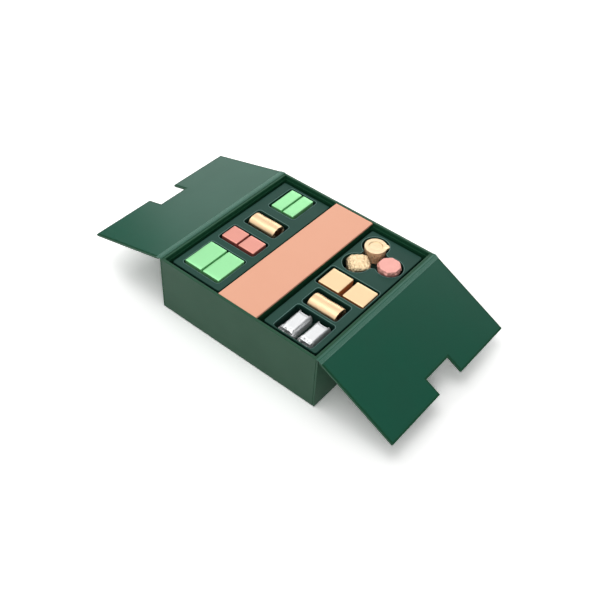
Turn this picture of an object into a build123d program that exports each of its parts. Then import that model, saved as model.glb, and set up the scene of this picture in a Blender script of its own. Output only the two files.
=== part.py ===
from build123d import *
import math
import os

# Gift box for foil-wrapped chocolates. A board tray, wrapped in green leatherette, has two notched
# leaves hinged along its long sides, a raised centre bar and a drop-in tray of sweets on each side.
# Millimetres. Origin at the middle of the underside, X across from the left leaf to the right leaf,
# Y towards the back, Z up. The leaves stand open, as the box is shown.

# Sweets. Proud is how far a top stands above the face of the drop-in tray, and a shift is how far a
# sweet lies from the middle of its well, towards the right and towards the back.
wide_bar_width = 27.7
wide_bar_length = 47.8
wide_bar_height = 16.0
wide_bar_proud = 2.0
slim_bar_width = 17.7
slim_bar_length = 44.2
slim_bar_height = 15.5
slim_bar_proud = 1.5
rose_square_width = 26.2
rose_square_length = 25.0
rose_square_height = 16.0
rose_square_proud = 2.0
gold_square_width = 32.0
gold_square_length = 31.6
gold_square_height = 14.0
gold_square_proud = 0.0
gold_square_shift = (1.1, 0)
silver_block_width = 21.2
silver_block_length = 40.5
silver_block_height = 13.0
silver_block_proud = -3.0
silver_shoulder_share = 0.3
silver_fold_share = 0.12
roll_width = 25.0
roll_height = 17.8
roll_length = 43.4
roll_proud = 2.5
roll_end_radius = 2.5
left_roll_shift = (-2.2, 2.4)
round_depth = 19.4
cup_proud = 0.6
cup_taper = 3.3
cup_recess_rim = 5.3
cup_recess = 0.8
cup_edge_radius = 1.5
rose_round_proud = 4.5
rose_round_sides = 8
truffle_proud = 1.6
truffle_shift = (1.6, 3.0)
block_edge_radius = 0.9
wrap_thickness = 0.5
flat_layers = 1
gathered_layers = 2
wrap_gap = 0.1
seat_gap = 0.3

# Rings of the faceted sweet and of the truffle, as shares of their height and of half their width
rose_round_ring_shares = ((0.0, 0.72), (0.8, 1.0), (1.0, 0.96))
truffle_foot_share = 0.55
truffle_belly_share = 0.42
truffle_crown_share = 0.3
truffle_lower_shares = (0.9, 0.17)
truffle_upper_shares = (0.8, 0.81)

# Gaps between the two sweets of a pair, and round every sweet to the wall of its well
wide_pair_gap = 2.5
slim_pair_gap = 2.6
rose_pair_gap = 2.7
gold_pair_gap = 6.1
silver_pair_gap = 7.4
wide_side_gap = 1.5
wide_end_gap = 3.0
slim_side_gap = 3.7
slim_end_gap = 3.1
rose_side_gap = 2.8
rose_end_gap = 3.85
gold_side_gap = 2.55
gold_end_gap = 3.35
silver_side_gap = 4.3
silver_end_gap = 3.45
roll_side_gap = 3.9
roll_end_gap = 5.0
lobe_diameter = 36.2
lobe_pair_gap = 6.4
lobe_middle_share = 0.75
lobe_neck_radius = 4.0
cup_side_gap = 2.3
rose_round_side_gap = 2.3
truffle_side_gap = 3.6

# Drop-in trays, formed from one sheet, and the bands of their face between the wells
tray_sheet = 1.2
tray_drop = 6.0
tray_skirt = 14.0
tray_skirt_spread = 1.2
tray_corner_radius = 3.0
tray_rim = 2.1
tray_side_gap = 4.95
tray_end_gap = 6.0
tray_outboard = 0.8
flange_gap = 0.8
well_corner_radius = 4.0
well_lip_radius = 0.8
well_outboard = 0.3
slim_outboard = 1.6
silver_outboard = 2.2
band_back = 4.4
band_round = 5.6
band_gold = 5.9
band_roll = 5.1
band_front = 1.9
left_band_shares = (0.085, 0.287, 0.236, 0.221, 0.171)

# Boards of the box, each with its wrap
box_height = 85.2
side_wall = 3.5
end_wall = 3.8
side_board = 2.5
board_joint = 0.2
base_board = 3.0
under_sheet = 0.8
under_sheet_inset = 1.0
liner = 1.2
liner_drop = 6.0
riser_board = 2.0
board_edge_radius = 0.6

# Centre bar
bar_width = 61.4
bar_panel = 3.0
bar_panel_drop = 0.3
bar_panel_overhang = 0.3
bar_wall = 2.5
bar_end_gap = 0.2

# Leaves and their hinges
leaf_board = 2.4
leaf_lining = 0.6
leaf_lining_inset = 2.5
leaf_rim_clearance = 0.3
leaf_middle_gap = 2.0
leaf_corner_radius = 1.0
notch_width = 47.3
notch_depth = 24.1
hinge_strip = 0.6
hinge_free = 3.0
hinge_glued = 3.0
hinge_lining_gap = 0.3
axis_outboard = 0.3
left_leaf_angle = 14.7
right_leaf_angle = 27.4

# Closing magnets, set into the leaves and into the front and back walls
magnet_length = 10.0
magnet_width = 2.4
leaf_magnet_thickness = 1.3
wall_magnet_height = 5.0
magnet_inset = 4.0
magnet_cover = 0.5

# Every cut runs past what it cuts by this much
overrun = 1.0


# Wells: width along X, length along Y and depth, from the sweets that lie in them
def pair_well(width, length, height, proud, pair_gap, side_gap, end_gap):
    return dict(
        width=2 * (width + side_gap) + pair_gap,
        length=length + 2 * end_gap,
        depth=height + seat_gap - proud,
    )


slim_well = pair_well(
    slim_bar_width, slim_bar_length, slim_bar_height, slim_bar_proud,
    slim_pair_gap, slim_side_gap, slim_end_gap,
)
wide_well = pair_well(
    wide_bar_width, wide_bar_length, wide_bar_height, wide_bar_proud,
    wide_pair_gap, wide_side_gap, wide_end_gap,
)
rose_well = pair_well(
    rose_square_width, rose_square_length, rose_square_height, rose_square_proud,
    rose_pair_gap, rose_side_gap, rose_end_gap,
)
gold_well = pair_well(
    gold_square_width, gold_square_length, gold_square_height, gold_square_proud,
    gold_pair_gap, gold_side_gap, gold_end_gap,
)
silver_well = pair_well(
    silver_block_width, silver_block_length, silver_block_height, silver_block_proud,
    silver_pair_gap, silver_side_gap, silver_end_gap,
)
roll_well = dict(
    width=roll_length + 2 * roll_end_gap,
    length=roll_width + 2 * roll_side_gap,
    depth=roll_height + seat_gap - roll_proud,
)

# The three-lobed well: one lobe towards the side of the box, two towards the centre bar.
# Each round sweet takes its width from its lobe. All three stand on one floor, so their heights
# follow from its depth.
cup_top_diameter = lobe_diameter - 2 * cup_side_gap
cup_base_diameter = cup_top_diameter - 2 * cup_taper
cup_recess_diameter = cup_top_diameter - 2 * cup_recess_rim
rose_round_diameter = lobe_diameter - 2 * rose_round_side_gap
truffle_diameter = lobe_diameter - 2 * truffle_side_gap
cup_height = round_depth + cup_proud
rose_round_height = round_depth + rose_round_proud
truffle_height = round_depth + truffle_proud
lobe_angles = (0, 120, 240)
lobe_radius = lobe_diameter / 2
lobe_spacing = lobe_diameter + lobe_pair_gap
lobe_reach = lobe_spacing / math.sqrt(3)
lobe_middle_radius = lobe_middle_share * lobe_reach
lobe_near = lobe_reach / 2 + lobe_radius
lobe_far = lobe_reach + lobe_radius
round_well = dict(
    width=lobe_near + lobe_far,
    length=lobe_spacing + lobe_diameter,
    depth=round_depth + seat_gap,
)

# Overall sizes follow from the wells, the bands and gaps of the trays, and the boards
left_wells = [slim_well, roll_well, rose_well, wide_well]
right_wells = [round_well, gold_well, roll_well, silver_well]
right_bands = [band_back, band_round, band_gold, band_roll, band_front]
widest_well = max(well["width"] for well in left_wells + right_wells)
tray_width = widest_well + 2 * (well_outboard + tray_rim)
tray_length = sum(well["length"] for well in right_wells) + sum(right_bands)
left_spare = tray_length - sum(well["length"] for well in left_wells)
left_bands = [share * left_spare for share in left_band_shares]

bay_start = bar_width / 2 - bar_panel_overhang
bay_width = tray_width + 2 * tray_side_gap
bay_length = tray_length + 2 * tray_end_gap
bay_x = bay_start + bay_width / 2
tray_x = bay_x + tray_outboard
well_x = tray_x + well_outboard
slim_x = well_x + slim_outboard
silver_x = well_x + silver_outboard
inner_x = bay_start + bay_width + liner
outer_x = inner_x + side_wall
side_x = outer_x + board_joint + side_board
inner_y = bay_length / 2 + liner
outer_y = inner_y + end_wall
floor_z = under_sheet + base_board
tray_z = box_height - tray_drop
flange_z = tray_z - tray_skirt
axis_x = side_x + axis_outboard
axis_z = box_height + leaf_rim_clearance
leaf_reach = axis_x - leaf_middle_gap / 2


def well_places(wells, bands):
    """The Y of each well's middle, from the back of the tray to the front."""
    places = []
    y = tray_length / 2
    for well, band in zip(wells, bands):
        y -= band + well["length"] / 2
        places.append(y)
        y -= well["length"] / 2
    return places


slim_y, left_roll_y, rose_y, wide_y = well_places(left_wells, left_bands)
round_y, gold_y, right_roll_y, silver_y = well_places(right_wells, right_bands)


def low_box(width, length, height):
    """A block centred on X and Y that stands on Z = 0."""
    return Box(width, length, height, align=(Align.CENTER, Align.CENTER, Align.MIN))


def span_box(x, y, z):
    """A block between three pairs of coordinates."""
    block = Box(x[1] - x[0], y[1] - y[0], z[1] - z[0], align=(Align.MIN, Align.MIN, Align.MIN))
    return Pos(x[0], y[0], z[0]) * block


def on_side(side, near, far):
    """The X or Y span from near to far on one side of the middle, lower end first."""
    return sorted((side * near, side * far))


def soft_board(x, y, z):
    """A wrapped board: every edge is slightly rounded by the wrap, within a third of its thickness."""
    thinnest = min(x[1] - x[0], y[1] - y[0], z[1] - z[0])
    return fillet(span_box(x, y, z).edges(), min(board_edge_radius, thinnest / 3))


def export(node, shape):
    export_step(shape, f"parts/{node}.step")


# The box: underside sheet, base, walls, side boards and liners
def underside_sheet():
    x = side_x - under_sheet_inset
    y = outer_y - under_sheet_inset
    return span_box((-x, x), (-y, y), (0, under_sheet))


def base_panel():
    return span_box((-inner_x, inner_x), (-inner_y, inner_y), (under_sheet, floor_z))


def wall_magnet_places(end):
    """Middles of the two magnets in the front (end -1) or back (end 1) wall, just under the rim."""
    x = leaf_middle_gap / 2 + magnet_inset + magnet_length / 2
    y = end * (outer_y - end_wall / 2)
    z = box_height - magnet_cover - wall_magnet_height / 2
    return [Pos(side * x, y, z) for side in (-1, 1)]


def wall_magnets():
    magnet = Box(magnet_length, magnet_width, wall_magnet_height)
    return Compound([place * magnet for end in (-1, 1) for place in wall_magnet_places(end)])


def end_wall_board(end):
    wall = soft_board((-outer_x, outer_x), on_side(end, inner_y, outer_y), (under_sheet, box_height))
    for place in wall_magnet_places(end):
        wall -= place * Box(magnet_length, magnet_width, wall_magnet_height)
    return wall


def side_wall_board(side):
    return soft_board(on_side(side, inner_x, outer_x), (-inner_y, inner_y), (under_sheet, box_height))


def side_cover_board(side):
    """The outer board on the hinge side. It stops under the hinge strip that lies on its top."""
    x = on_side(side, outer_x + board_joint, side_x)
    return soft_board(x, (-outer_y, outer_y), (under_sheet, axis_z - hinge_strip))


def end_liner(end):
    x = inner_x - liner
    return span_box((-x, x), on_side(end, inner_y - liner, inner_y), (floor_z, box_height - liner_drop))


def side_liner(side):
    x = on_side(side, inner_x - liner, inner_x)
    return span_box(x, (-inner_y, inner_y), (floor_z, box_height - liner_drop))


# The centre bar: two walls that stand on the base, and the panel across them
def bar_side_wall(side):
    y = inner_y - liner - bar_end_gap
    top = box_height - bar_panel_drop - bar_panel
    return span_box(on_side(side, bay_start - bar_wall, bay_start), (-y, y), (floor_z, top))


def centre_panel():
    x = bar_width / 2
    y = inner_y - bar_end_gap
    top = box_height - bar_panel_drop
    return soft_board((-x, x), (-y, y), (top - bar_panel, top))


def riser(side):
    """A folded board frame that stands on the base and carries a tray by its flange."""
    width = bay_width - 2 * flange_gap
    length = bay_length - 2 * flange_gap
    height = flange_z - seat_gap - floor_z
    frame = low_box(width, length, height)
    hollow = low_box(width - 2 * riser_board, length - 2 * riser_board, height + 2 * overrun)
    return Pos(side * bay_x, 0, floor_z) * (frame - Pos(0, 0, -overrun) * hollow)


# A tray: the face, a skirt that spreads down to a flange, and a cup for each well
def straight_outline(well, grow):
    """The plan of a straight-sided well, centred on the origin."""
    return RectangleRounded(
        well["width"] + 2 * grow, well["length"] + 2 * grow, well_corner_radius + grow
    )


def lobe_place(number):
    """The middle of one lobe, from the middle of the three-lobed well."""
    angle = math.radians(lobe_angles[number])
    x = lobe_reach * math.cos(angle) + (lobe_near - lobe_far) / 2
    return x, lobe_reach * math.sin(angle)


def lobed_outline(well, grow):
    """The plan of the three-lobed well, with its necks rounded."""
    plan = Pos((lobe_near - lobe_far) / 2, 0) * Circle(lobe_middle_radius + grow)
    for number in range(len(lobe_angles)):
        plan += Pos(*lobe_place(number)) * Circle(lobe_radius + grow)
    return fillet(plan.vertices(), lobe_neck_radius - grow)


def tray_shell():
    """The face and its skirt, hollow below, with a flange as wide as the bay allows."""
    spread = -math.degrees(math.atan(tray_skirt_spread / tray_skirt))
    outside = RectangleRounded(tray_width, tray_length, tray_corner_radius)
    inside = RectangleRounded(
        tray_width - 2 * tray_sheet, tray_length - 2 * tray_sheet, tray_corner_radius - tray_sheet
    )
    shell = extrude(outside, amount=-tray_skirt, taper=spread)
    shell -= Pos(0, 0, -tray_sheet) * extrude(inside, amount=-tray_skirt, taper=spread)
    flange = Pos(-tray_outboard, 0) * Rectangle(bay_width - 2 * flange_gap, bay_length - 2 * flange_gap)
    return shell + Pos(0, 0, -tray_skirt) * extrude(flange - outside, amount=tray_sheet)


def right_hand_tray(placed_wells):
    """A tray on the right of the bar. placed_wells holds the X, the Y, the well and its plan maker."""
    shell = tray_shell()
    for x, y, well, outline in placed_wells:
        cup = extrude(outline(well, tray_sheet), amount=-well["depth"] - tray_sheet)
        shell += Pos(x - tray_x, y) * cup
    for x, y, well, outline in placed_wells:
        space = extrude(outline(well, 0), amount=well["depth"] + overrun)
        shell -= Pos(x - tray_x, y, -well["depth"]) * space
    face = shell.faces().filter_by(Axis.Z).sort_by(Axis.Z)[-1]
    return Pos(tray_x, 0, tray_z) * fillet(face.edges(), well_lip_radius)


def left_tray():
    shell = right_hand_tray([
        (slim_x, slim_y, slim_well, straight_outline),
        (well_x, left_roll_y, roll_well, straight_outline),
        (well_x, rose_y, rose_well, straight_outline),
        (well_x, wide_y, wide_well, straight_outline),
    ])
    return mirror(shell, Plane.YZ)


def right_tray():
    return right_hand_tray([
        (well_x, round_y, round_well, lobed_outline),
        (well_x, gold_y, gold_well, straight_outline),
        (well_x, right_roll_y, roll_well, straight_outline),
        (silver_x, silver_y, silver_well, straight_outline),
    ])


# Sweets, each standing on Z = 0. Every maker returns the wrap and the chocolate inside it.
def wrapped(outside, body, sizes, layers):
    """The wrap round a room of the body's form, and the chocolate a little smaller than the room."""
    skin = layers * wrap_thickness
    loose = skin + wrap_gap
    room = body(*[size - 2 * skin for size in sizes])
    chocolate = body(*[size - 2 * loose for size in sizes])
    return outside - Pos(0, 0, skin) * room, Pos(0, 0, loose) * chocolate


def block_sweet(width, length, height):
    outside = fillet(low_box(width, length, height).edges(), block_edge_radius)
    return wrapped(outside, low_box, (width, length, height), flat_layers)


def silver_sweet():
    """A block with rounded shoulders and foil folded down over sloping ends."""
    width, length, height = silver_block_width, silver_block_length, silver_block_height
    shoulder = silver_shoulder_share * width
    fold = silver_fold_share * length
    section = Plane.XZ * (Pos(0, height / 2) * Rectangle(width, height))
    section = fillet(section.vertices().group_by(Axis.Z)[-1], shoulder)
    outside = extrude(section, amount=length / 2, both=True)
    slope = Plane.YZ * make_face(Polyline(
        (length / 2 - fold, height),
        (length / 2, height - 2 * fold),
        (length / 2 + overrun, height - 2 * fold),
        (length / 2 + overrun, height + overrun),
        (length / 2 - fold, height + overrun),
        close=True,
    ))
    wedge = extrude(slope, amount=width, both=True)
    outside = outside - wedge - mirror(wedge, Plane.XZ)
    return wrapped(outside, low_box, (width, length - 2 * fold, height - shoulder / 2), gathered_layers)


def roll_body(width, height, length):
    section = Plane.YZ * (Pos(0, height / 2) * Ellipse(width / 2, height / 2))
    return extrude(section, amount=length / 2, both=True)


def roll_sweet():
    """An oval bar along X. The gathered foil rounds its ends over."""
    sizes = (roll_width, roll_height, roll_length)
    outside = roll_body(*sizes)
    outside = fillet(outside.faces().filter_by(Axis.X).edges(), roll_end_radius)
    return wrapped(outside, roll_body, sizes, gathered_layers)


def cup_body(base_diameter, top_diameter, height):
    return Pos(0, 0, height / 2) * Cone(base_diameter / 2, top_diameter / 2, height)


def cup_sweet():
    """A tapered cup with a sunk disc in its top."""
    outside = cup_body(cup_base_diameter, cup_top_diameter, cup_height)
    outside = fillet(outside.edges().filter_by(GeomType.CIRCLE), cup_edge_radius)
    disc = Pos(0, 0, cup_recess) * Cylinder(cup_recess_diameter / 2, 2 * cup_recess)
    outside -= Pos(0, 0, cup_height - cup_recess) * disc
    sizes = (cup_base_diameter, cup_top_diameter, cup_height - cup_recess)
    return wrapped(outside, cup_body, sizes, gathered_layers)


def rose_round_body(diameter, height):
    """A faceted body, widest just under its broad flat top. One of its sides faces along X."""
    facing = Rot(0, 0, 180 / rose_round_sides)
    plans = [
        Pos(0, 0, height_share * height) * facing
        * RegularPolygon(width_share * diameter / 2, rose_round_sides)
        for height_share, width_share in rose_round_ring_shares
    ]
    return loft(plans, ruled=True)


def rose_round_sweet():
    sizes = (rose_round_diameter, rose_round_height)
    return wrapped(rose_round_body(*sizes), rose_round_body, sizes, gathered_layers)


def truffle_body(diameter, height):
    """A rounded body, flattened where it stands and drawn in at the top."""
    half = diameter / 2
    foot = (truffle_foot_share * half, 0)
    belly = (half, truffle_belly_share * height)
    crown = (truffle_crown_share * half, height)
    lower = (truffle_lower_shares[0] * half, truffle_lower_shares[1] * height)
    upper = (truffle_upper_shares[0] * half, truffle_upper_shares[1] * height)
    outline = [
        ThreePointArc(foot, lower, belly),
        ThreePointArc(belly, upper, crown),
        Polyline(crown, (0, height), (0, 0), foot),
    ]
    return revolve(Plane.XZ * make_face(outline), Axis.Z)


def truffle_sweet():
    sizes = (truffle_diameter, truffle_height)
    return wrapped(truffle_body(*sizes), truffle_body, sizes, gathered_layers)


def place_pair(name, sweet, middle, width, pair_gap, base_z):
    """Names and places for the two sweets of a pair, the left one first."""
    middle_x, y = middle
    step = (width + pair_gap) / 2
    return [
        (f"{name}_1", (middle_x - step, y, base_z), sweet),
        (f"{name}_2", (middle_x + step, y, base_z), sweet),
    ]


def placed_sweets():
    """The name, the place and the two shapes of every sweet. Each stands just over its well's floor."""
    slim = block_sweet(slim_bar_width, slim_bar_length, slim_bar_height)
    wide = block_sweet(wide_bar_width, wide_bar_length, wide_bar_height)
    rose = block_sweet(rose_square_width, rose_square_length, rose_square_height)
    gold = block_sweet(gold_square_width, gold_square_length, gold_square_height)
    silver = silver_sweet()
    roll = roll_sweet()
    slim_z = tray_z + slim_bar_proud - slim_bar_height
    wide_z = tray_z + wide_bar_proud - wide_bar_height
    rose_z = tray_z + rose_square_proud - rose_square_height
    gold_z = tray_z + gold_square_proud - gold_square_height
    silver_z = tray_z + silver_block_proud - silver_block_height
    roll_z = tray_z + roll_proud - roll_height
    gold_right, gold_back = gold_square_shift
    slim_place = (-slim_x, slim_y)
    wide_place = (-well_x, wide_y)
    rose_place = (-well_x, rose_y)
    gold_place = (well_x + gold_right, gold_y + gold_back)
    silver_place = (silver_x, silver_y)
    placed = place_pair("slim_green_bar", slim, slim_place, slim_bar_width, slim_pair_gap, slim_z)
    placed += place_pair("wide_green_bar", wide, wide_place, wide_bar_width, wide_pair_gap, wide_z)
    placed += place_pair("rose_square", rose, rose_place, rose_square_width, rose_pair_gap, rose_z)
    placed += place_pair("gold_square", gold, gold_place, gold_square_width, gold_pair_gap, gold_z)
    placed += place_pair(
        "silver_block", silver, silver_place, silver_block_width, silver_pair_gap, silver_z
    )
    roll_right, roll_back = left_roll_shift
    placed.append(("gold_roll_1", (roll_right - well_x, left_roll_y + roll_back, roll_z), roll))
    placed.append(("gold_roll_2", (well_x, right_roll_y, roll_z), roll))
    truffle_right, truffle_back = truffle_shift
    rounds = [
        ("rose_round", rose_round_sweet(), 0, 0),
        ("gold_cup", cup_sweet(), 0, 0),
        ("gold_truffle", truffle_sweet(), truffle_right, truffle_back),
    ]
    for number, (name, sweet, right, back) in enumerate(rounds):
        x, y = lobe_place(number)
        placed.append((name, (well_x + x + right, round_y + y + back, tray_z - round_depth), sweet))
    return placed


# A leaf, built flat and open to the right of its hinge axis, which is at the origin.
# S runs from the axis to the free edge, and the inner face is at Z = 0.
def leaf_outline(start, end, half_length, notch_grow):
    """A leaf's plan between two distances from the axis, less the notch in its free edge."""
    plan = Pos((start + end) / 2, 0) * Rectangle(end - start, 2 * half_length)
    inner = leaf_reach - notch_depth - notch_grow
    outer = leaf_reach + overrun
    return plan - Pos((inner + outer) / 2, 0) * Rectangle(outer - inner, notch_width + 2 * notch_grow)


def leaf_magnet_places():
    """The leaf's magnets lie over those in the walls when it is shut."""
    s = leaf_reach - magnet_inset - magnet_length / 2
    y = outer_y - end_wall / 2
    z = -leaf_lining - magnet_cover - leaf_magnet_thickness / 2
    return [Pos(s, -y, z), Pos(s, y, z)]


def leaf_board_panel():
    outline = leaf_outline(hinge_free, leaf_reach, outer_y, 0)
    outline = fillet(outline.vertices().group_by(Axis.X)[-1], leaf_corner_radius)
    board = Pos(0, 0, -leaf_lining - leaf_board) * extrude(outline, amount=leaf_board)
    for place in leaf_magnet_places():
        board -= place * Box(magnet_length, magnet_width, leaf_magnet_thickness)
    return board


def leaf_lining_panel():
    start = hinge_free + hinge_glued + hinge_lining_gap
    end = leaf_reach - leaf_lining_inset
    outline = leaf_outline(start, end, outer_y - leaf_lining_inset, leaf_lining_inset)
    return Pos(0, 0, -leaf_lining) * extrude(outline, amount=leaf_lining)


def leaf_magnets():
    magnet = Box(magnet_length, magnet_width, leaf_magnet_thickness)
    return Compound([place * magnet for place in leaf_magnet_places()])


def hinge_strip_sheet(angle):
    """The flexible strip, from the top of the side board over the axis to the leaf turned down."""
    start = -axis_outboard - side_board
    reach = hinge_free + hinge_glued
    turn = math.radians(angle)
    end = (reach * math.cos(turn), -reach * math.sin(turn))
    under = (end[0] - hinge_strip * math.sin(turn), end[1] - hinge_strip * math.cos(turn))
    bend = -hinge_strip * math.tan(turn / 2)
    outline = Polyline(
        (start, 0), (0, 0), end, under, (bend, -hinge_strip), (start, -hinge_strip), close=True
    )
    return extrude(Plane.XZ * make_face(outline), amount=outer_y, both=True)


def at_hinge(side, angle, shape):
    """Turns a flat leaf down by its open angle at the right hinge, and mirrors it for the left one."""
    turned = Pos(axis_x, 0, axis_z) * Rot(0, angle, 0) * shape
    return turned if side > 0 else mirror(turned, Plane.YZ)


def export_leaf(name, side, angle):
    export(f"{name}_leaf", at_hinge(side, angle, leaf_board_panel()))
    export(f"{name}_leaf_lining", at_hinge(side, angle, leaf_lining_panel()))
    export(f"{name}_leaf_magnets", at_hinge(side, angle, leaf_magnets()))
    export(f"{name}_hinge_strip", at_hinge(side, 0, hinge_strip_sheet(angle)))


def export_side(name, side):
    export(f"{name}_wall", side_wall_board(side))
    export(f"{name}_side_board", side_cover_board(side))
    export(f"{name}_liner", side_liner(side))
    export(f"{name}_bar_wall", bar_side_wall(side))
    export(f"{name}_riser", riser(side))


os.makedirs("parts", exist_ok=True)
export("underside_sheet", underside_sheet())
export("base_board", base_panel())
export("wall_magnets", wall_magnets())
export("centre_panel", centre_panel())
for end_name, end in (("front", -1), ("back", 1)):
    export(f"{end_name}_wall", end_wall_board(end))
    export(f"{end_name}_liner", end_liner(end))
for side_name, side, angle in (("left", -1, left_leaf_angle), ("right", 1, right_leaf_angle)):
    export_side(side_name, side)
    export_leaf(side_name, side, angle)
export("left_tray", left_tray())
export("right_tray", right_tray())
for sweet_name, place, (wrap, chocolate) in placed_sweets():
    export(f"{sweet_name}_wrap", Pos(*place) * wrap)
    export(f"{sweet_name}_chocolate", Pos(*place) * chocolate)
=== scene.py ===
import bpy
import math
from mathutils import Euler, Matrix, Vector


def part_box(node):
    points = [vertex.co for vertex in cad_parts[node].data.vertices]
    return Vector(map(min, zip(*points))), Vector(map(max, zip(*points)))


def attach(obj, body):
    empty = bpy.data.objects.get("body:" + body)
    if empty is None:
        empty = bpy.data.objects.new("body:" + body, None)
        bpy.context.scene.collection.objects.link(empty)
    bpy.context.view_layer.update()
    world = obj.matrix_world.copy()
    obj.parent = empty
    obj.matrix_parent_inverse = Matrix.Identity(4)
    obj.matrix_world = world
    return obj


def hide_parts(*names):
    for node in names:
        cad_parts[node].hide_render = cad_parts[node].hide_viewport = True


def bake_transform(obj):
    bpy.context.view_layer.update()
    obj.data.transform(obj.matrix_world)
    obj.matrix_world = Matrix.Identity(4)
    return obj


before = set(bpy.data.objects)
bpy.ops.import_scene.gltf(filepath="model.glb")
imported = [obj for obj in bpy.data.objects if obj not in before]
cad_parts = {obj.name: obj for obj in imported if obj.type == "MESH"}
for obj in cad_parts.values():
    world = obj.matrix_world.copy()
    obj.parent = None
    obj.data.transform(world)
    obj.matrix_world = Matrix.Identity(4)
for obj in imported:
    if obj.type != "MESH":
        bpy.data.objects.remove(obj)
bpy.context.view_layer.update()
mm = 0.001
# Points closer together than this are in one place
hair = 0.01 * mm


# Studio. The box stands on a white floor in a white room. A large softbox at the back left and a fill
# at the front light it evenly. A lamp overhead and two strip lamps put the bands on the foil, and black
# cards darken the right leaf and the front of the left leaf. The camera stands 1.19 m away, 37 degrees
# round from the front and 45 degrees up, with a 53 mm lens.
def linear(code):
    """An sRGB colour such as "20533F" as the linear RGBA of a shader socket."""
    channels = [int(code[i:i + 2], 16) / 255 for i in (0, 2, 4)]
    return [c / 12.92 if c <= 0.04045 else ((c + 0.055) / 1.055) ** 2.4 for c in channels] + [1.0]


def add_node(tree, kind, values=None, links=None):
    """Adds a node, sets its options and sockets by name or number, and joins outputs to its inputs."""
    made = tree.nodes.new("ShaderNode" + kind)
    for name, value in (values or {}).items():
        if isinstance(name, int) or name in made.inputs:
            made.inputs[name].default_value = value
        else:
            setattr(made, name, value)
    for name, output in (links or {}).items():
        tree.links.new(output, made.inputs[name])
    return made


def blank_material(name):
    material = bpy.data.materials.new(name)
    material.use_nodes = True
    material.node_tree.nodes.clear()
    return material, material.node_tree


def seen_directly(tree):
    """1 for rays from the camera, or from a gloss or glass that shows the background, else 0."""
    path = add_node(tree, "LightPath")
    camera_or_gloss = add_node(tree, "Math", {"operation": "MAXIMUM"}, {
        0: path.outputs["Is Camera Ray"], 1: path.outputs["Is Glossy Ray"],
    })
    return add_node(tree, "Math", {"operation": "MAXIMUM"}, {
        0: camera_or_gloss.outputs[0], 1: path.outputs["Is Transmission Ray"],
    }).outputs[0]


bpy.ops.object.select_all(action="DESELECT")
bpy.ops.mesh.primitive_plane_add(size=14, location=(0, 0, 0))
floor = bpy.context.object
floor.name = "studio_floor"
paint, tree = blank_material("white_painted_floor")
shade = add_node(tree, "Mix", {"data_type": "RGBA", 6: (0.7, 0.7, 0.7, 1), 7: (1.45, 1.45, 1.44, 1)},
                 {0: seen_directly(tree)})
matt = add_node(tree, "BsdfDiffuse", links={"Color": shade.outputs[2]})
add_node(tree, "OutputMaterial", links={"Surface": matt.outputs[0]})
floor.data.materials.append(paint)

room = bpy.data.worlds.new("white_room")
room.use_nodes = True
room.node_tree.nodes.clear()
strength = add_node(room.node_tree, "Mix", {"data_type": "FLOAT", 2: 0.5, 3: 1.0},
                    {0: seen_directly(room.node_tree)})
walls_of_room = add_node(room.node_tree, "Background", {"Color": (1, 1, 1, 1)},
                         {"Strength": strength.outputs[0]})
add_node(room.node_tree, "OutputWorld", links={"Surface": walls_of_room.outputs[0]})
bpy.context.scene.world = room

box_middle = Vector((0, 0, 0.06))


def facing_box(direction, distance):
    """The place at that distance from the box, and the turn that faces the box from there."""
    away = Vector(direction).normalized() * distance
    return box_middle + away, away.to_track_quat("Z", "Y").to_euler()


def hung_card(name, direction, distance, width, height):
    """A flat card that hangs in the studio and faces the box."""
    place, turn = facing_box(direction, distance)
    bpy.ops.object.select_all(action="DESELECT")
    bpy.ops.mesh.primitive_plane_add(size=1, location=place, rotation=turn)
    card = bpy.context.object
    card.name = name
    card.scale = (width, height, 1)
    card.visible_camera = False
    return card


def softbox(name, direction, distance, width, height, power, in_gloss):
    """A soft lamp that faces the box. Where it isn't in gloss, gloss and foil show the room there."""
    place, turn = facing_box(direction, distance)
    bpy.ops.object.light_add(type="AREA", location=place, rotation=turn)
    lamp = bpy.context.object
    lamp.name = name
    lamp.data.shape = "RECTANGLE"
    lamp.data.size = width
    lamp.data.size_y = height
    lamp.data.energy = power
    lamp.visible_camera = False
    lamp.visible_glossy = in_gloss


softbox("back_left_softbox", (-0.75, 0.55, 0.45), 1.6, 1.7, 1.5, 11, False)
softbox("front_fill", (0.55, -0.65, 0.6), 2.0, 0.8, 0.8, 6, False)
softbox("overhead_lamp", (-0.1, -0.1, 1.0), 2.2, 1.6, 1.6, 12, True)
softbox("back_strip", (-0.4, 0.86, 0.31), 1.4, 0.7, 0.5, 2, True)
softbox("left_strip", (-0.67, -0.06, 0.74), 1.4, 0.4, 0.6, 1.4, True)
felt, tree = blank_material("black_felt")
soot = add_node(tree, "BsdfDiffuse", {"Color": (0.03, 0.03, 0.03, 1)})
add_node(tree, "OutputMaterial", links={"Surface": soot.outputs[0]})
for card in (
    hung_card("right_black_card", (0.663, 0.383, 0.643), 1.5, 1.2, 1.2),
    hung_card("left_black_card", (-0.94, 0.12, 0.30), 1.2, 0.7, 0.7),
):
    card.data.materials.append(felt)

camera_place = (0.50582, -0.66437, 0.84455)
camera_round, camera_down, camera_roll = (math.radians(angle) for angle in (36.966, 45.102, 3.610))
bpy.ops.object.camera_add(location=camera_place)
camera = bpy.context.object
camera.name = "photo_camera"
level = Euler((math.radians(90) - camera_down, 0, camera_round)).to_matrix()
camera.rotation_euler = (level @ Matrix.Rotation(camera_roll, 3, "Z")).to_euler()
camera.data.lens = 53.18
camera.data.sensor_width = 36
bpy.context.scene.camera = camera
bpy.context.scene.view_settings.view_transform = "Standard"


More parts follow.
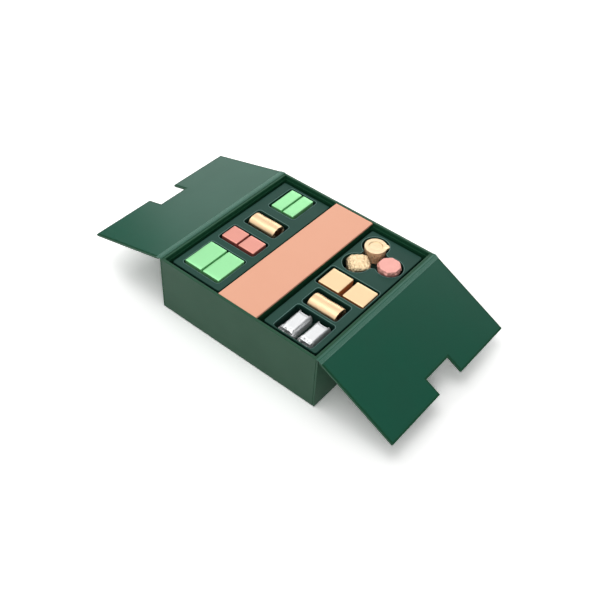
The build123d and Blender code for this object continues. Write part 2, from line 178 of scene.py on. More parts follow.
# Walls and side boards. Greyboard wrapped in leatherette: paper with a polyurethane coat, embossed
# with a fine leather grain. The coat is satin, so the green greys a little where it meets the light.
def dress(node, material):
    """Gives a CAD node its finish."""
    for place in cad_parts[node].material_slots:
        place.material = material


def leatherette(name, colour, deep_colour, roughness, index, grain, relief):
    """Grain is the width of one pebble of the embossing, and relief its depth, both in metres."""
    material, tree = blank_material(name)
    place = add_node(tree, "TexCoord").outputs["Object"]
    cloud = add_node(tree, "TexNoise", {"Scale": 1 / (45 * mm), "Detail": 2.0}, {"Vector": place})
    tint = add_node(tree, "Mix", {"data_type": "RGBA", 6: linear(colour), 7: linear(deep_colour)},
                    {0: cloud.outputs["Fac"]})
    pebbles = add_node(tree, "TexVoronoi", {"feature": "SMOOTH_F1", "Scale": 1 / grain}, {"Vector": place})
    pores = add_node(tree, "TexNoise", {"Scale": 0.7 / grain, "Detail": 3.0}, {"Vector": place})
    height = add_node(tree, "Math", {"operation": "ADD"}, {
        0: pebbles.outputs["Distance"], 1: pores.outputs["Fac"],
    })
    emboss = add_node(tree, "Bump", {"Strength": 0.5, "Distance": relief},
                      {"Height": height.outputs[0]})
    wear = add_node(tree, "MapRange", {"To Min": roughness - 0.05, "To Max": roughness + 0.06},
                    {"Value": cloud.outputs["Fac"]})
    coat = add_node(tree, "BsdfPrincipled", {"IOR": index}, {
        "Base Color": tint.outputs[2], "Roughness": wear.outputs[0], "Normal": emboss.outputs[0],
    })
    add_node(tree, "OutputMaterial", links={"Surface": coat.outputs[0]})
    return material


wall_leatherette = leatherette("green_leatherette", "1E5238", "1A4932", 0.42, 1.33, 0.6 * mm, 0.04 * mm)
for node in ("front_wall", "back_wall", "left_wall", "right_wall", "left_side_board", "right_side_board"):
    dress(node, wall_leatherette)


# Underside and base. The base is plain greyboard, and the sheet glued under it is black kraft paper,
# set in from the edge so that it hides the turned-in wrap.
def board_or_paper(name, colour, fleck_colour, roughness, fibre):
    """Uncoated stock: matt, with short flecks about as long as its fibres."""
    material, tree = blank_material(name)
    place = add_node(tree, "TexCoord").outputs["Object"]
    flecks = add_node(tree, "TexNoise", {"Scale": 1 / fibre, "Detail": 6.0, "Roughness": 0.7},
                      {"Vector": place})
    tint = add_node(tree, "Mix", {"data_type": "RGBA", 6: linear(colour), 7: linear(fleck_colour)},
                    {0: flecks.outputs["Fac"]})
    tooth = add_node(tree, "Bump", {"Strength": 0.3, "Distance": 0.03 * mm},
                     {"Height": flecks.outputs["Fac"]})
    sheet = add_node(tree, "BsdfPrincipled", {"IOR": 1.45, "Roughness": roughness}, {
        "Base Color": tint.outputs[2], "Normal": tooth.outputs[0],
    })
    add_node(tree, "OutputMaterial", links={"Surface": sheet.outputs[0]})
    return material


dress("underside_sheet", board_or_paper("black_kraft_paper", "1E2220", "2A2F2C", 0.8, 0.8 * mm))
dress("base_board", board_or_paper("greyboard", "8E8A80", "716C62", 0.85, 1.5 * mm))


# Liners. Thin card strips wrapped in smooth green paper, glued round the inside of the walls. Their
# cut top edge is the fine light line below the rim.
liner_paper = leatherette("green_liner_paper", "1D5238", "194830", 0.36, 1.42, 0.4 * mm, 0.01 * mm)
for node in ("front_liner", "back_liner", "left_liner", "right_liner"):
    dress(node, liner_paper)


# Centre bar. Two card walls wrapped in the green liner paper carry a board panel wrapped in a peach
# paper with a soft-touch matt coat. The panel is left bare.
dress("left_bar_wall", liner_paper)
dress("right_bar_wall", liner_paper)
panel_paper = leatherette("peach_soft_touch_paper", "F6B596", "F3B091", 0.5, 1.4, 0.5 * mm, 0.012 * mm)
dress("centre_panel", panel_paper)


# Drop-in trays and risers. Each tray is one vacuum-formed sheet of polystyrene with a matt face, drawn
# thin in its wells, with shade painted into them. The risers are folded card in plain dark stock.
def formed_sheet(name, colour, deep_colour, face_z):
    """The face is matt, with the faint orange peel of a sheet that was drawn over a mould. Below the
    height face_z, in its wells, shade is painted in: the colour darkens with depth towards near-black
    green."""
    material, tree = blank_material(name)
    place = add_node(tree, "TexCoord").outputs["Object"]
    cloud = add_node(tree, "TexNoise", {"Scale": 1 / (30 * mm), "Detail": 2.0}, {"Vector": place})
    tint = add_node(tree, "Mix", {"data_type": "RGBA", 6: linear(colour), 7: linear(deep_colour)},
                    {0: cloud.outputs["Fac"]})
    height = add_node(tree, "SeparateXYZ", links={0: place}).outputs[2]
    # Painted shade: below the face the colour is mixed towards a near-black green, more the deeper it lies
    painted_well_shade = add_node(tree, "MapRange", {
        "From Min": face_z - 0.8 * mm, "From Max": face_z - 3.0 * mm, "To Max": 0.65,
    }, {"Value": height})
    shade = add_node(tree, "Mix", {"data_type": "RGBA", 7: linear("081613")},
                     {0: painted_well_shade.outputs[0], 6: tint.outputs[2]})
    peel = add_node(tree, "TexNoise", {"Scale": 1 / (1.2 * mm), "Detail": 2.0}, {"Vector": place})
    ripple = add_node(tree, "Bump", {"Strength": 0.35, "Distance": 0.02 * mm},
                      {"Height": peel.outputs["Fac"]})
    plastic = add_node(tree, "BsdfPrincipled", {"IOR": 1.3, "Roughness": 0.48}, {
        "Base Color": shade.outputs[2], "Normal": ripple.outputs[0],
    })
    add_node(tree, "OutputMaterial", links={"Surface": plastic.outputs[0]})
    return material


tray_face_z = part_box("left_tray")[1][2]
tray_sheet = formed_sheet("green_formed_polystyrene", "1C493E", "184036", tray_face_z)
dress("left_tray", tray_sheet)
dress("right_tray", tray_sheet)
riser_card = board_or_paper("dark_green_card", "16332A", "122A22", 0.75, 1.0 * mm)
dress("left_riser", riser_card)
dress("right_riser", riser_card)


# Leaves. Greyboard wrapped in the wall leatherette, with a separate lining of smoother coated paper
# on the inner face, set in from the edges, and flat nickel-plated magnets under the wrap.
lining_paper = leatherette("green_lining_paper", "1F5C48", "1C5341", 0.3, 1.45, 0.45 * mm, 0.015 * mm)
nickel, tree = blank_material("nickel_plated_magnet")
place = add_node(tree, "TexCoord").outputs["Object"]
spots = add_node(tree, "TexNoise", {"Scale": 1 / (0.8 * mm), "Detail": 3.0}, {"Vector": place})
sheen = add_node(tree, "MapRange", {"To Min": 0.25, "To Max": 0.4}, {"Value": spots.outputs["Fac"]})
plate = add_node(tree, "BsdfPrincipled", {"Base Color": linear("B9B6AE"), "Metallic": 1.0},
                 {"Roughness": sheen.outputs[0]})
add_node(tree, "OutputMaterial", links={"Surface": plate.outputs[0]})
dress("wall_magnets", nickel)
for side in ("left", "right"):
    dress(f"{side}_leaf", wall_leatherette)
    dress(f"{side}_leaf_lining", lining_paper)
    dress(f"{side}_leaf_magnets", nickel)


# Hinge strips. A strip of the same leatherette over cloth, glued along the top of the side board and
# to the edge of the leaf, drawn lighter as painted light. Fine lines are creased along it so that it folds
# in the same place.
def start_piece(name):
    """Names the primitive just added, and puts its place and size into its mesh."""
    piece = bpy.context.object
    piece.name = name
    bpy.ops.object.transform_apply(location=True, rotation=True, scale=True)
    return piece


def clear_selection():
    bpy.ops.object.select_all(action="DESELECT")


def select_only(piece):
    clear_selection()
    piece.select_set(True)
    bpy.context.view_layer.objects.active = piece


def pick(piece, kind, test):
    """In edit mode, selects just the vertices, edges or faces whose middle and normal pass the test."""
    bpy.ops.mesh.select_mode(type=kind)
    bpy.ops.mesh.select_all(action="DESELECT")
    bpy.ops.object.mode_set(mode="OBJECT")
    mesh = piece.data
    if kind == "FACE":
        for face in mesh.polygons:
            face.select = bool(test(face.center, face.normal))
    elif kind == "EDGE":
        for edge in mesh.edges:
            a, b = (mesh.vertices[i].co for i in edge.vertices)
            edge.select = bool(test((a + b) / 2, (b - a).normalized()))
    else:
        for corner in mesh.vertices:
            corner.select = bool(test(corner.co, corner.normal))
    bpy.ops.object.mode_set(mode="EDIT")


def apply_all(piece):
    select_only(piece)
    for change in list(piece.modifiers):
        bpy.ops.object.modifier_apply(modifier=change.name)


# Painted light: the hinge strip gets a lighter copy of the wall leatherette
hinge_leatherette_painted_light = leatherette(
    "green_hinge_leatherette_painted_light", "1F624C", "1B5743", 0.42, 1.6, 0.6 * mm, 0.04 * mm
)
# Painted highlight: the creases and the outer edge of the strip get a paler copy again
crease_highlight_leatherette = leatherette(
    "green_leatherette_painted_crease_highlight", "6F988B", "5E8979", 0.42, 1.5, 0.6 * mm, 0.04 * mm
)
strip_thickness = 0.6 * mm
strip_reach = 6.0 * mm
strip_edge = 0.5 * mm
axis_x, axis_z = 128.0 * mm, 85.5 * mm
crease_depth, crease_half = 0.22 * mm, 0.25 * mm
bend_half = 0.7 * mm
creases_on_leaf = (1.5 * mm, 2.6 * mm, 3.7 * mm, 4.8 * mm)
crease_on_board = 1.0 * mm
left_leaf_turn, right_leaf_turn = math.radians(14.7), math.radians(27.4)


def strip_stations(start):
    """Distances from the axis and depths of the strip's face, from the side board out to the leaf."""
    def crease(middle):
        return [(middle - crease_half, 0), (middle, crease_depth), (middle + crease_half, 0)]

    stations = [(start, 0)] + crease(start + crease_on_board)
    stations += [(-bend_half, 0), (-bend_half / 2, 0), (0, 0), (bend_half / 2, 0), (bend_half, 0)]
    for middle in creases_on_leaf:
        stations += crease(middle)
    return stations + [(strip_reach - strip_edge, 0), (strip_reach, 0)]


def on_strip(side, turn, s, depth):
    """The point of the face at distance s from the axis: level before it, turned down after it."""
    if s <= 0:
        return side * (axis_x + s), axis_z - depth
    x = s * math.cos(turn) - depth * math.sin(turn)
    z = -s * math.sin(turn) - depth * math.cos(turn)
    return side * (axis_x + x), axis_z + z


for name, side, turn in (("left", -1, left_leaf_turn), ("right", 1, right_leaf_turn)):
    lo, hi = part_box(f"{name}_hinge_strip")
    start = (lo[0] if side > 0 else -hi[0]) - axis_x
    stations = strip_stations(start)
    points = [on_strip(side, turn, s, depth) for s, depth in stations]
    width = abs(points[1][0] - points[0][0])
    clear_selection()
    bpy.ops.mesh.primitive_plane_add(size=1, location=((points[0][0] + points[1][0]) / 2, 0, axis_z))
    bpy.context.object.scale = (width, hi[1] - lo[1], 1)
    strip = start_piece(f"{name}_hinge_strip_creased")
    bpy.ops.object.mode_set(mode="EDIT")
    pick(strip, "EDGE", lambda middle, along: abs(middle.x - points[1][0]) < hair)
    for a, b in zip(points[1:], points[2:]):
        bpy.ops.mesh.extrude_region_move(
            TRANSFORM_OT_translate={"value": (b[0] - a[0], 0, b[1] - a[1])}
        )
    bpy.ops.object.mode_set(mode="OBJECT")
    backing = strip.modifiers.new("backing", "SOLIDIFY")
    backing.thickness = strip_thickness
    backing.offset = -1
    apply_all(strip)
    bpy.ops.object.mode_set(mode="EDIT")
    bpy.ops.mesh.select_all(action="SELECT")
    bpy.ops.mesh.normals_make_consistent(inside=False)
    bpy.ops.object.mode_set(mode="OBJECT")
    bpy.ops.object.shade_smooth_by_angle(angle=math.radians(25))
    strip.data.materials.append(hinge_leatherette_painted_light)
    strip.data.materials.append(crease_highlight_leatherette)
    bpy.ops.object.mode_set(mode="EDIT")

    def in_a_crease(centre, normal):
        down_from_axis = axis_z - centre.z
        s = math.hypot(abs(centre.x) - axis_x, down_from_axis)
        return (abs(centre.x) > axis_x and normal.z > 0
                and (s > strip_reach - strip_edge
                     or any(abs(s - middle) < 0.2 * mm for middle in creases_on_leaf)))

    # The faces that get the painted crease highlight
    pick(strip, "FACE", in_a_crease)
    strip.active_material_index = 1
    bpy.ops.object.material_slot_assign()
    bpy.ops.object.mode_set(mode="OBJECT")
    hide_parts(f"{name}_hinge_strip")
    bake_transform(strip)


# Lips of the wells. Where a tray was drawn over the edge of its mould, the sheet is rounded, so each
# well has a thin rounded lip round its mouth, coloured lighter than the sheet as a painted highlight.
# Painted highlight: the lips get a paler copy of the tray sheet
lip_sheet_painted_highlight = formed_sheet("polystyrene_lip_painted_highlight", "6F918C", "5F817B", tray_face_z)
lip_radius, lip_sink = 0.45 * mm, 0.15 * mm
rim_at_ends, rim_at_bar, rim_at_wall = 8 * mm, 6.2 * mm, 4.3 * mm
for side in ("left", "right"):
    tray_node = f"{side}_tray"
    lo, hi = (Vector(corner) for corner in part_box(tray_node))
    select_only(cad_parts[tray_node])
    bpy.ops.object.duplicate()
    lips = bpy.context.object
    lips.name = f"{side}_tray_well_lips"
    bpy.ops.object.mode_set(mode="EDIT")
    bpy.ops.mesh.select_all(action="SELECT")
    bpy.ops.mesh.remove_doubles(threshold=0.001 * mm)
    pick(lips, "FACE", lambda centre, normal: normal.z < 0.999 or centre.z < hi.z - hair)
    bpy.ops.mesh.delete(type="FACE")
    bpy.ops.mesh.select_mode(type="EDGE")
    bpy.ops.mesh.select_all(action="DESELECT")
    bpy.ops.mesh.select_non_manifold(use_wire=False, use_multi_face=False, use_non_contiguous=False,
                                     use_verts=False)
    bpy.ops.mesh.select_all(action="INVERT")
    bpy.ops.mesh.delete(type="EDGE")
    # What is left is the edge of the flat face: its outer side goes, and the mouths of the wells stay
    near_x, far_x = sorted(abs(x) for x in (lo.x, hi.x))
    pick(lips, "EDGE", lambda centre, along: abs(centre.y) > hi.y - rim_at_ends
         or not near_x + rim_at_bar < abs(centre.x) < far_x - rim_at_wall)
    bpy.ops.mesh.delete(type="EDGE")
    bpy.ops.mesh.select_all(action="SELECT")
    bpy.ops.mesh.delete_loose(use_edges=False)
    bpy.ops.mesh.select_all(action="SELECT")
    bpy.ops.transform.translate(value=(0, 0, -lip_sink))
    bpy.ops.object.mode_set(mode="OBJECT")
    lips.data.materials.clear()
    bpy.ops.object.convert(target="CURVE")
    lips.data.bevel_depth = lip_radius
    lips.data.bevel_resolution = 1
    bpy.ops.object.convert(target="MESH")
    lips = bpy.context.object
    bpy.ops.object.shade_smooth_by_angle(angle=math.radians(60))
    lips.data.materials.append(lip_sheet_painted_highlight)
    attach(lips, tray_node)


# Flat-foil sweets. Blocks of chocolate wrapped in coloured aluminium foil: a smooth satin top, edges
# pressed round, and envelope folds on the two ends. The lacquer tints the metal. The sides and ends are
# painted darker and deeper in colour, as painted shade and the painted reflection of the foil beside them.
def foil(name, colour, roughness, crease, relief, metallic=1.0):
    """Lacquered foil. Crease is the distance between its fine wrinkles, and relief their depth. Foil
    that is crumpled more finely than the render shows scatters light, so it is less metallic."""
    material, tree = blank_material(name)
    place = add_node(tree, "TexCoord").outputs["Object"]
    pinch = add_node(tree, "TexVoronoi", {"feature": "DISTANCE_TO_EDGE", "Scale": 1 / crease},
                     {"Vector": place})
    ridge = add_node(tree, "MapRange", {"From Max": 0.12}, {"Value": pinch.outputs["Distance"]})
    wave = add_node(tree, "TexNoise", {"Scale": 0.5 / crease, "Detail": 4.0, "Roughness": 0.6},
                    {"Vector": place})
    height = add_node(tree, "Math", {"operation": "MULTIPLY_ADD", 1: 2.0},
                      {0: wave.outputs["Fac"], 2: ridge.outputs[0]})
    bump = add_node(tree, "Bump", {"Strength": 0.6, "Distance": relief}, {"Height": height.outputs[0]})
    rub = add_node(tree, "MapRange", {"To Min": roughness - 0.06, "To Max": roughness + 0.08},
                   {"Value": wave.outputs["Fac"]})
    metal = add_node(tree, "BsdfPrincipled", {"Base Color": linear(colour), "Metallic": metallic}, {
        "Roughness": rub.outputs[0], "Normal": bump.outputs[0],
    })
    add_node(tree, "OutputMaterial", links={"Surface": metal.outputs[0]})
    return material


def crumple(piece, size, depth, kind="CLOUDS", group="", inward=0.5):
    """Pushes the surface in and out by depth in all, in dents about as wide as size. Inward is the
    share of depth that goes inwards, towards the chocolate."""
    pattern = bpy.data.textures.new(piece.name + "_dents", kind)
    pattern.noise_scale = size
    dents = piece.modifiers.new("dents", "DISPLACE")
    dents.texture = pattern
    dents.texture_coords = "LOCAL"
    dents.strength = depth
    dents.mid_level = inward
    dents.vertex_group = group


def extent(node):
    """The low and high corners of a CAD node's box, its middle and its size."""
    lo, hi = (Vector(corner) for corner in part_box(node))
    return lo, hi, (lo + hi) / 2, hi - lo


def refine(piece, levels):
    """Divides each face into four, once per level, so that dents have points to move."""
    net = piece.modifiers.new("net", "SUBSURF")
    net.subdivision_type = "SIMPLE"
    net.levels = levels
    net.render_levels = levels


def wrap_done(piece, node, body, material, angle):
    """Applies the modifiers, smooths, and puts the wrap in the place of its CAD node."""
    apply_all(piece)
    bpy.ops.object.shade_smooth_by_angle(angle=math.radians(angle))
    if material:
        piece.data.materials.append(material)
    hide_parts(node)
    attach(piece, body)


block_round, end_border, end_sink, fold_thickness = 0.9 * mm, 0.7 * mm, 0.25 * mm, 0.22 * mm
middle_sink, end_zone, fold_above, fold_half = 0.3 * mm, 1.0 * mm, 2.0 * mm, 1.0 * mm


def wrapped_block(name, material, side_material):
    """Wraps one block. The material is on its broad faces and the side material on its four sides."""
    middle, size = extent(f"{name}_wrap")[2:]
    clear_selection()
    bpy.ops.mesh.primitive_cube_add(size=1, location=middle)
    bpy.context.object.scale = size
    block = start_piece(f"{name}_folded_wrap")
    bpy.ops.object.mode_set(mode="EDIT")
    bpy.ops.mesh.select_all(action="SELECT")
    bpy.ops.mesh.bevel(offset=block_round, segments=3, profile=0.5, affect="EDGES")
    # The ends: a border, four folds that meet in the middle, and the upper and lower ones on top
    pick(block, "FACE", lambda centre, normal: abs(normal.y) > 0.99)
    bpy.ops.mesh.inset(thickness=end_border, depth=-end_sink)
    bpy.ops.mesh.poke()
    pick(block, "VERT", lambda co, normal: abs(co.x - middle.x) < hair
         and abs(co.z - middle.z) < hair)
    bpy.ops.transform.resize(value=(1, 1 - middle_sink / size.y, 1), center_override=middle)
    pick(block, "FACE", lambda centre, normal: abs(normal.y) > 0.9
         and abs(centre.y - middle.y) > size.y / 2 - end_zone
         and abs(centre.z - middle.z) > fold_above and abs(centre.x - middle.x) < fold_half)
    bpy.ops.mesh.extrude_region_shrink_fatten(TRANSFORM_OT_shrink_fatten={"value": fold_thickness})
    for finish in (material, side_material):
        block.data.materials.append(finish)
    pick(block, "FACE", lambda centre, normal: abs(normal.z) < 0.3)
    block.active_material_index = 1
    bpy.ops.object.material_slot_assign()
    bpy.ops.object.mode_set(mode="OBJECT")
    refine(block, 3)
    crumple(block, 7 * mm, 0.35 * mm)
    wrap_done(block, f"{name}_wrap", name, None, 40)


green_foil = foil("green_lacquered_foil", "A0E6A8", 0.38, 3.0 * mm, 0.05 * mm)
rose_foil = foil("rose_lacquered_foil", "E6A092", 0.38, 3.0 * mm, 0.05 * mm)
gold_foil = foil("pale_gold_lacquered_foil", "F0D3A8", 0.38, 4.0 * mm, 0.04 * mm)
# Painted shade and reflection: the sides and ends get darker, deeper copies of the top foils
green_folds_painted_shade = foil("folded_green_foil_painted_shade", "86D892", 0.4, 2.5 * mm, 0.08 * mm, 0.3)
rose_folds_painted_shade = foil("folded_rose_foil_painted_shade", "C06A60", 0.4, 2.5 * mm, 0.08 * mm, 0.4)
gold_folds_painted_shade = foil("folded_gold_foil_painted_shade", "D98A52", 0.4, 2.5 * mm, 0.08 * mm, 0.3)
for number in (1, 2):
    wrapped_block(f"slim_green_bar_{number}", green_foil, green_folds_painted_shade)
    wrapped_block(f"wide_green_bar_{number}", green_foil, green_folds_painted_shade)
    wrapped_block(f"rose_square_{number}", rose_foil, rose_folds_painted_shade)
    wrapped_block(f"gold_square_{number}", gold_foil, gold_folds_painted_shade)


# Silver blocks. Soft blocks in plain aluminium foil, round along their shoulders. The foil is drawn
# out to points at the back corners, falls in between them, and is crumpled where the front is folded.
def mark(piece, group, test):
    """In edit mode, puts the vertices that pass the test in a group, so that a modifier can keep to it."""
    pick(piece, "VERT", test)
    bpy.ops.object.vertex_group_add()
    piece.vertex_groups.active.name = group
    bpy.ops.object.vertex_group_assign()


silver_foil = foil("plain_aluminium_foil", "E9EAEB", 0.3, 2.4 * mm, 0.08 * mm, 0.75)
shoulder_round = 4.3 * mm
end_cuts, width_cuts, height_cuts = (0.46, 0.38, 0.28, 0.1), (0.36, 0.22, 0.08), (0.1, 0.3)
fold_from, shoulder_from, back_from, front_from = 0.27, 0.34, 0.2, 0.15
upper_width, front_lean = 0.96, 0.88
for number in (1, 2):
    name = f"silver_block_{number}"
    lo, _, middle, size = extent(f"{name}_wrap")
    clear_selection()
    bpy.ops.mesh.primitive_cube_add(size=1, location=middle)
    bpy.context.object.scale = size
    block = start_piece(f"{name}_gathered_wrap")
    bpy.ops.object.mode_set(mode="EDIT")
    pick(block, "EDGE", lambda centre, along: abs(along.y) > 0.9 and centre.z > middle.z)
    bpy.ops.mesh.bevel(offset=shoulder_round, segments=5, profile=0.5, affect="EDGES")
    # Cuts across the block at shares of its size, so that parts of its faces can move
    for axis, shares in ((1, end_cuts), (0, width_cuts), (2, height_cuts)):
        direction = Vector((axis == 0, axis == 1, axis == 2))
        for share in (sign * share for share in shares for sign in (-1, 1)):
            bpy.ops.mesh.select_all(action="SELECT")
            bpy.ops.mesh.bisect(plane_co=middle + share * size[axis] * direction, plane_no=direction)
    # The back end falls in between the corners, most in the middle of its upper edge
    for near, far, inward in ((-0.01, 0.15, 1.2 * mm), (0.15, 0.3, 0.9 * mm), (0.3, 0.42, 0.4 * mm)):
        pick(block, "VERT", lambda co, normal: co.y > middle.y + back_from * size.y
             and near < abs(co.x - middle.x) / size.x < far)
        bpy.ops.transform.resize(value=(1, 1 - 2 * inward / size.y, 1), center_override=middle)
    for height, lean in ((0.25, 0.97), (0.45, 0.96)):
        pick(block, "VERT", lambda co, normal: co.y > middle.y + 0.4 * size.y
             and co.z > middle.z + height * size.z and abs(co.x - middle.x) < 0.3 * size.x)
        bpy.ops.transform.resize(value=(1, lean, lean), center_override=(middle.x, middle.y, lo.z))
    # Towards its top the block gets narrower, and its front slopes back
    for height in (0.05, 0.25):
        pick(block, "VERT", lambda co, normal: co.z > middle.z + height * size.z)
        bpy.ops.transform.resize(value=(upper_width, 1, 1), center_override=middle)
        pick(block, "VERT", lambda co, normal: co.z > middle.z + height * size.z
             and co.y < middle.y - front_from * size.y)
        bpy.ops.transform.resize(value=(1, front_lean, 1),
                                 center_override=middle - Vector((0, front_from * size.y, 0)))
    mark(block, "folded_end", lambda co, normal: co.y < middle.y - fold_from * size.y)
    mark(block, "left_shoulder", lambda co, normal: co.x < middle.x - shoulder_from * size.x)
    bpy.ops.object.mode_set(mode="OBJECT")
    refine(block, 3)
    crumple(block, 9 * mm, 0.7 * mm)
    crumple(block, 4 * mm, 1.9 * mm, "VORONOI", "folded_end", 0.25)
    crumple(block, 3 * mm, 0.9 * mm, "VORONOI", "left_shoulder")
    wrap_done(block, f"{name}_wrap", name, silver_foil, 35)


# Gold rolls. An oval bar of chocolate rolled up in gold foil. The foil is folded in over each end in a
# ring of pleats, and the chocolate shows in the middle of the ring.
roll_gold_foil = foil("gold_lacquered_foil", "EACAA2", 0.4, 5.0 * mm, 0.03 * mm)
end_ring, pleat_length, pleat_edge = 1.2 * mm, 4.4 * mm, 1.6 * mm
ring_sink, pleat_sink, pleat_depth, end_round = 0.2 * mm, 0.9 * mm, 0.6 * mm, 0.9 * mm
pleat_twist, pleat_step = math.radians(20), math.radians(5)
for number in (1, 2):
    name = f"gold_roll_{number}"
    middle, size = extent(f"{name}_wrap")[2:]
    clear_selection()
    bpy.ops.mesh.primitive_cylinder_add(vertices=72, radius=0.5, depth=1, location=middle,
                                        rotation=(0, math.radians(90), 0))
    bpy.context.object.scale = (size.z, size.y, size.x)
    roll = start_piece(f"{name}_pleated_wrap")
    bpy.ops.object.mode_set(mode="EDIT")
    for share in (-0.42, -0.2, 0.0, 0.2, 0.42):
        bpy.ops.mesh.select_all(action="SELECT")
        bpy.ops.mesh.bisect(plane_co=middle + Vector((share * size.x, 0, 0)), plane_no=(1, 0, 0))
    for end in (-1, 1):
        pick(roll, "FACE", lambda centre, normal: end * normal.x > 0.9)
        bpy.ops.mesh.inset(thickness=end_ring, depth=0)
        bpy.ops.transform.translate(value=(-end * ring_sink, 0, 0))
        bpy.ops.mesh.inset(thickness=pleat_length, depth=0)
        bpy.ops.transform.rotate(value=pleat_twist, orient_axis="X", center_override=middle)
        bpy.ops.transform.translate(value=(-end * pleat_sink, 0, 0))
        bpy.ops.mesh.inset(thickness=pleat_edge, depth=0)
        bpy.ops.transform.translate(value=(-end * pleat_sink, 0, 0))

        def in_a_pleat(co, normal):
            """Two of every six steps of 5 degrees round the end lie in the fold of a pleat."""
            y, z = (co.y - middle.y) / size.y, (co.z - middle.z) / size.z
            step = math.atan2(z, y) / pleat_step
            return (end * (co.x - middle.x) > size.x / 2 - 2.5 * mm and 0.1 < math.hypot(y, z) < 0.46
                    and round(step) % 6 < 2)

        pick(roll, "VERT", in_a_pleat)
        bpy.ops.transform.translate(value=(-end * pleat_depth, 0, 0))
    pick(roll, "EDGE", lambda centre, along: abs(along.x) < 0.01
         and abs(abs(centre.x - middle.x) - size.x / 2) < hair)
    bpy.ops.mesh.bevel(offset=end_round, segments=3, profile=0.5, affect="EDGES")
    bpy.ops.object.mode_set(mode="OBJECT")
    refine(roll, 1)
    crumple(roll, 12 * mm, 0.9 * mm)
    crumple(roll, 3 * mm, 0.12 * mm)
    wrap_done(roll, f"{name}_wrap", name, roll_gold_foil, 35)


# Gold cup. A foil cup, narrower at its foot, pressed with pleats up its side. Its lid is a flat disc
# sunk in a broad rim, and the foil stands out in one pointed crease at the back right.
# The side foil is crumpled, and it is drawn as a lighter, nearly matt copy of the gold foil: painted light
# from the foils beside it
cup_side_foil_painted_light = foil("gold_cup_side_foil_painted_light", "FFD6AA", 0.4, 3.0 * mm, 0.1 * mm, 0.1)
lid_foil = foil("bright_gold_foil", "F2D8B2", 0.36, 4.0 * mm, 0.03 * mm)
lo, hi, middle, size = extent("gold_cup_wrap")
clear_selection()
foot_share, mouth_share = 0.41, 0.49
pleat_height, pleat_pull, pleat_step_degrees = 15.5 * mm, 0.96, 5
crease_direction, crease_pull = 37, (0.9 * mm, 0.68 * mm, -0.2 * mm)
bpy.ops.mesh.primitive_cone_add(vertices=72, radius1=foot_share * size.x, radius2=mouth_share * size.x,
                                depth=size.z, location=middle)
cup = start_piece("gold_cup_pleated_wrap")
bpy.ops.object.mode_set(mode="EDIT")
for height in (2.0 * mm, 6.0 * mm, 11.0 * mm, 15.0 * mm, 17.5 * mm):
    bpy.ops.mesh.select_all(action="SELECT")
    bpy.ops.mesh.bisect(plane_co=(0, 0, lo.z + height), plane_no=(0, 0, 1))


def from_middle(co):
    """The distance of a point from the cup's axis, and its direction round it in degrees."""
    return (math.hypot(co.x - middle.x, co.y - middle.y),
            math.degrees(math.atan2(co.y - middle.y, co.x - middle.x)))


pick(cup, "VERT", lambda co, normal: co.z < lo.z + pleat_height
     and round(from_middle(co)[1] / pleat_step_degrees) % 4 == 0)
bpy.ops.transform.resize(value=(pleat_pull, pleat_pull, 1), center_override=middle)
# The lid, from its rim inwards: the width of each ring and how far its inner edge falls
pick(cup, "FACE", lambda centre, normal: normal.z > 0.9)
for ring_width, fall in ((1.2 * mm, 0.1 * mm), (4.4 * mm, 0), (0.7 * mm, 1.1 * mm), (1.6 * mm, -0.2 * mm)):
    bpy.ops.mesh.inset(thickness=ring_width, depth=0)
    bpy.ops.transform.translate(value=(0, 0, -fall))
bpy.ops.mesh.inset(thickness=4.0 * mm, depth=0)
# The pointed crease of the rim, drawn out three times in an ever narrower part
for spread in (13, 8, 4):
    pick(cup, "VERT", lambda co, normal: co.z > hi.z - 3 * mm and from_middle(co)[0] > 13.4 * mm
         and abs(from_middle(co)[1] - crease_direction) < spread)
    bpy.ops.transform.translate(value=crease_pull)
pick(cup, "EDGE", lambda centre, along: abs(along.z) < 0.2 and centre.z > hi.z - 0.9 * mm
     and from_middle(centre)[0] > 15.0 * mm)
bpy.ops.mesh.bevel(offset=0.8 * mm, segments=3, profile=0.5, affect="EDGES")
mark(cup, "side", lambda co, normal: co.z < hi.z - 4 * mm and from_middle(co)[0] > 0.3 * size.x)
for finish in (cup_side_foil_painted_light, lid_foil):
    cup.data.materials.append(finish)
pick(cup, "FACE", lambda centre, normal: normal.z > 0.3 and centre.z > hi.z - 2.5 * mm)
cup.active_material_index = 1
bpy.ops.object.material_slot_assign()
bpy.ops.object.mode_set(mode="OBJECT")
refine(cup, 2)
crumple(cup, 5 * mm, 0.6 * mm)
crumple(cup, 3.5 * mm, 1.6 * mm, "VORONOI", "side", 0.4)
wrap_done(cup, "gold_cup_wrap", "gold_cup", None, 35)


# Rose round. A faceted sweet in rose foil: eight flat sides, widest near the top, and a broad flat top.
# The foil is gathered below, so it is crumpled round the lower half.
gathered_rose_foil = foil("gathered_rose_foil", "F6B0A5", 0.34, 2.6 * mm, 0.1 * mm, 0.35)
lo, _, middle, size = extent("rose_round_wrap")
clear_selection()
half_side_turn = math.radians(180 / 8)
bpy.ops.mesh.primitive_cylinder_add(vertices=8, radius=size.x / 2 / math.cos(half_side_turn),
                                    depth=size.z, location=middle, rotation=(0, 0, half_side_turn))
gem = start_piece("rose_round_gathered_wrap")
bpy.ops.object.mode_set(mode="EDIT")
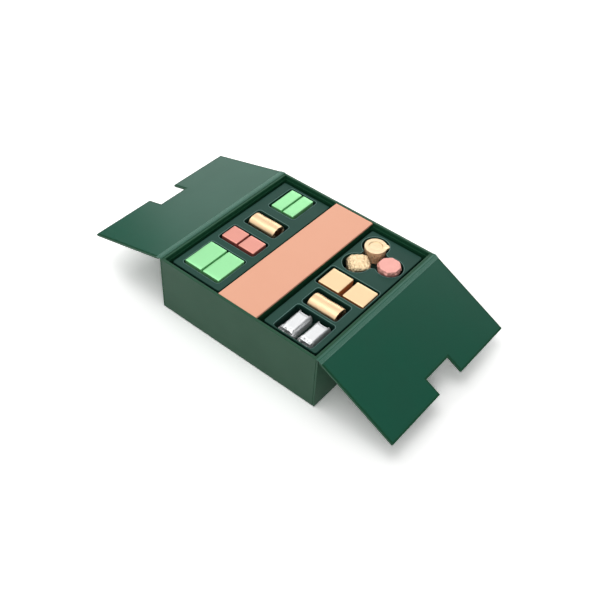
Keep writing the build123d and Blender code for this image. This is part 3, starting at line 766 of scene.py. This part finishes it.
# Shares of the height, and of the full width there
for height, share in ((0.0, 0.79), (0.3, 0.9), (0.62, 0.98), (0.85, 1.0), (1.0, 0.93)):
    if 0 < height < 1:
        bpy.ops.mesh.select_all(action="SELECT")
        bpy.ops.mesh.bisect(plane_co=(0, 0, lo.z + height * size.z), plane_no=(0, 0, 1))
    pick(gem, "VERT", lambda co, normal: abs(co.z - lo.z - height * size.z) < hair)
    bpy.ops.transform.resize(value=(share, share, 1), center_override=middle)
pick(gem, "FACE", lambda centre, normal: normal.z > 0.95)
bpy.ops.mesh.inset(thickness=1.2 * mm, depth=0)
mark(gem, "gathered", lambda co, normal: co.z < lo.z + 0.9 * size.z)
bpy.ops.object.mode_set(mode="OBJECT")
soften = gem.modifiers.new("soften", "BEVEL")
soften.width = 0.5 * mm
soften.segments = 2
soften.limit_method = "ANGLE"
soften.angle_limit = math.radians(14)
refine(gem, 4)
crumple(gem, 4 * mm, 2.4 * mm, "VORONOI", "gathered", 0.05)
crumple(gem, 8 * mm, 0.5 * mm)
wrap_done(gem, "rose_round_wrap", "rose_round", gathered_rose_foil, 30)


# Gold truffle. A rounded block in pale gold foil that was closed by hand, so it is crumpled all over
# into small dents and ridges. It stands with a corner to the front.
truffle_foil = foil("crumpled_pale_gold_foil", "F3D8AE", 0.34, 2.6 * mm, 0.3 * mm, 0.8)
lo, hi, middle, size = extent("gold_truffle_wrap")
side, foot_share = 0.93 * size.x, 0.94
corner_round, top_round, foot_round = 7.5 * mm, 5 * mm, 2 * mm
clear_selection()
bpy.ops.mesh.primitive_cube_add(size=1, location=middle, rotation=(0, 0, math.radians(45)))
bpy.context.object.scale = (side, side, size.z)
truffle = start_piece("gold_truffle_crumpled_wrap")
bpy.ops.object.mode_set(mode="EDIT")
pick(truffle, "FACE", lambda centre, normal: normal.z < -0.9)
bpy.ops.transform.resize(value=(foot_share, foot_share, 1), center_override=middle)
pick(truffle, "EDGE", lambda centre, along: abs(along.z) > 0.9)
bpy.ops.mesh.bevel(offset=corner_round, segments=4, profile=0.5, affect="EDGES")
pick(truffle, "EDGE", lambda centre, along: abs(along.z) < 0.1 and centre.z > hi.z - 0.1 * mm)
bpy.ops.mesh.bevel(offset=top_round, segments=4, profile=0.5, affect="EDGES")
pick(truffle, "EDGE", lambda centre, along: abs(along.z) < 0.1 and centre.z < lo.z + 0.1 * mm)
bpy.ops.mesh.bevel(offset=foot_round, segments=2, profile=0.5, affect="EDGES")
for share in (-0.25, 0.0, 0.25):
    for direction in (Vector((1, 1, 0)).normalized(), Vector((1, -1, 0)).normalized(), Vector((0, 0, 1))):
        bpy.ops.mesh.select_all(action="SELECT")
        bpy.ops.mesh.bisect(plane_co=middle + share * side * direction, plane_no=direction)
bpy.ops.object.mode_set(mode="OBJECT")
refine(truffle, 3)
crumple(truffle, 5 * mm, 1.9 * mm, "VORONOI", inward=0.05)
crumple(truffle, 3 * mm, 1.4 * mm, "VORONOI", inward=0.15)
wrap_done(truffle, "gold_truffle_wrap", "gold_truffle", truffle_foil, 28)


# Chocolate inside the foils. Moulded chocolate with a soft gloss, a little lighter where the surface
# has bloomed. It shows only in the ends of the gold rolls.
chocolate, tree = blank_material("moulded_milk_chocolate")
place = add_node(tree, "TexCoord").outputs["Object"]
bloom = add_node(tree, "TexNoise", {"Scale": 1 / (6 * mm), "Detail": 5.0}, {"Vector": place})
tint = add_node(tree, "Mix", {"data_type": "RGBA", 6: linear("4A2A18"), 7: linear("5E3A24")},
                {0: bloom.outputs["Fac"]})
skin = add_node(tree, "Bump", {"Strength": 0.3, "Distance": 0.05 * mm}, {"Height": bloom.outputs["Fac"]})
cocoa = add_node(tree, "BsdfPrincipled", {"IOR": 1.47, "Roughness": 0.35}, {
    "Base Color": tint.outputs[2], "Normal": skin.outputs[0],
})
add_node(tree, "OutputMaterial", links={"Surface": cocoa.outputs[0]})
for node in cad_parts:
    if node.endswith("_chocolate"):
        dress(node, chocolate)
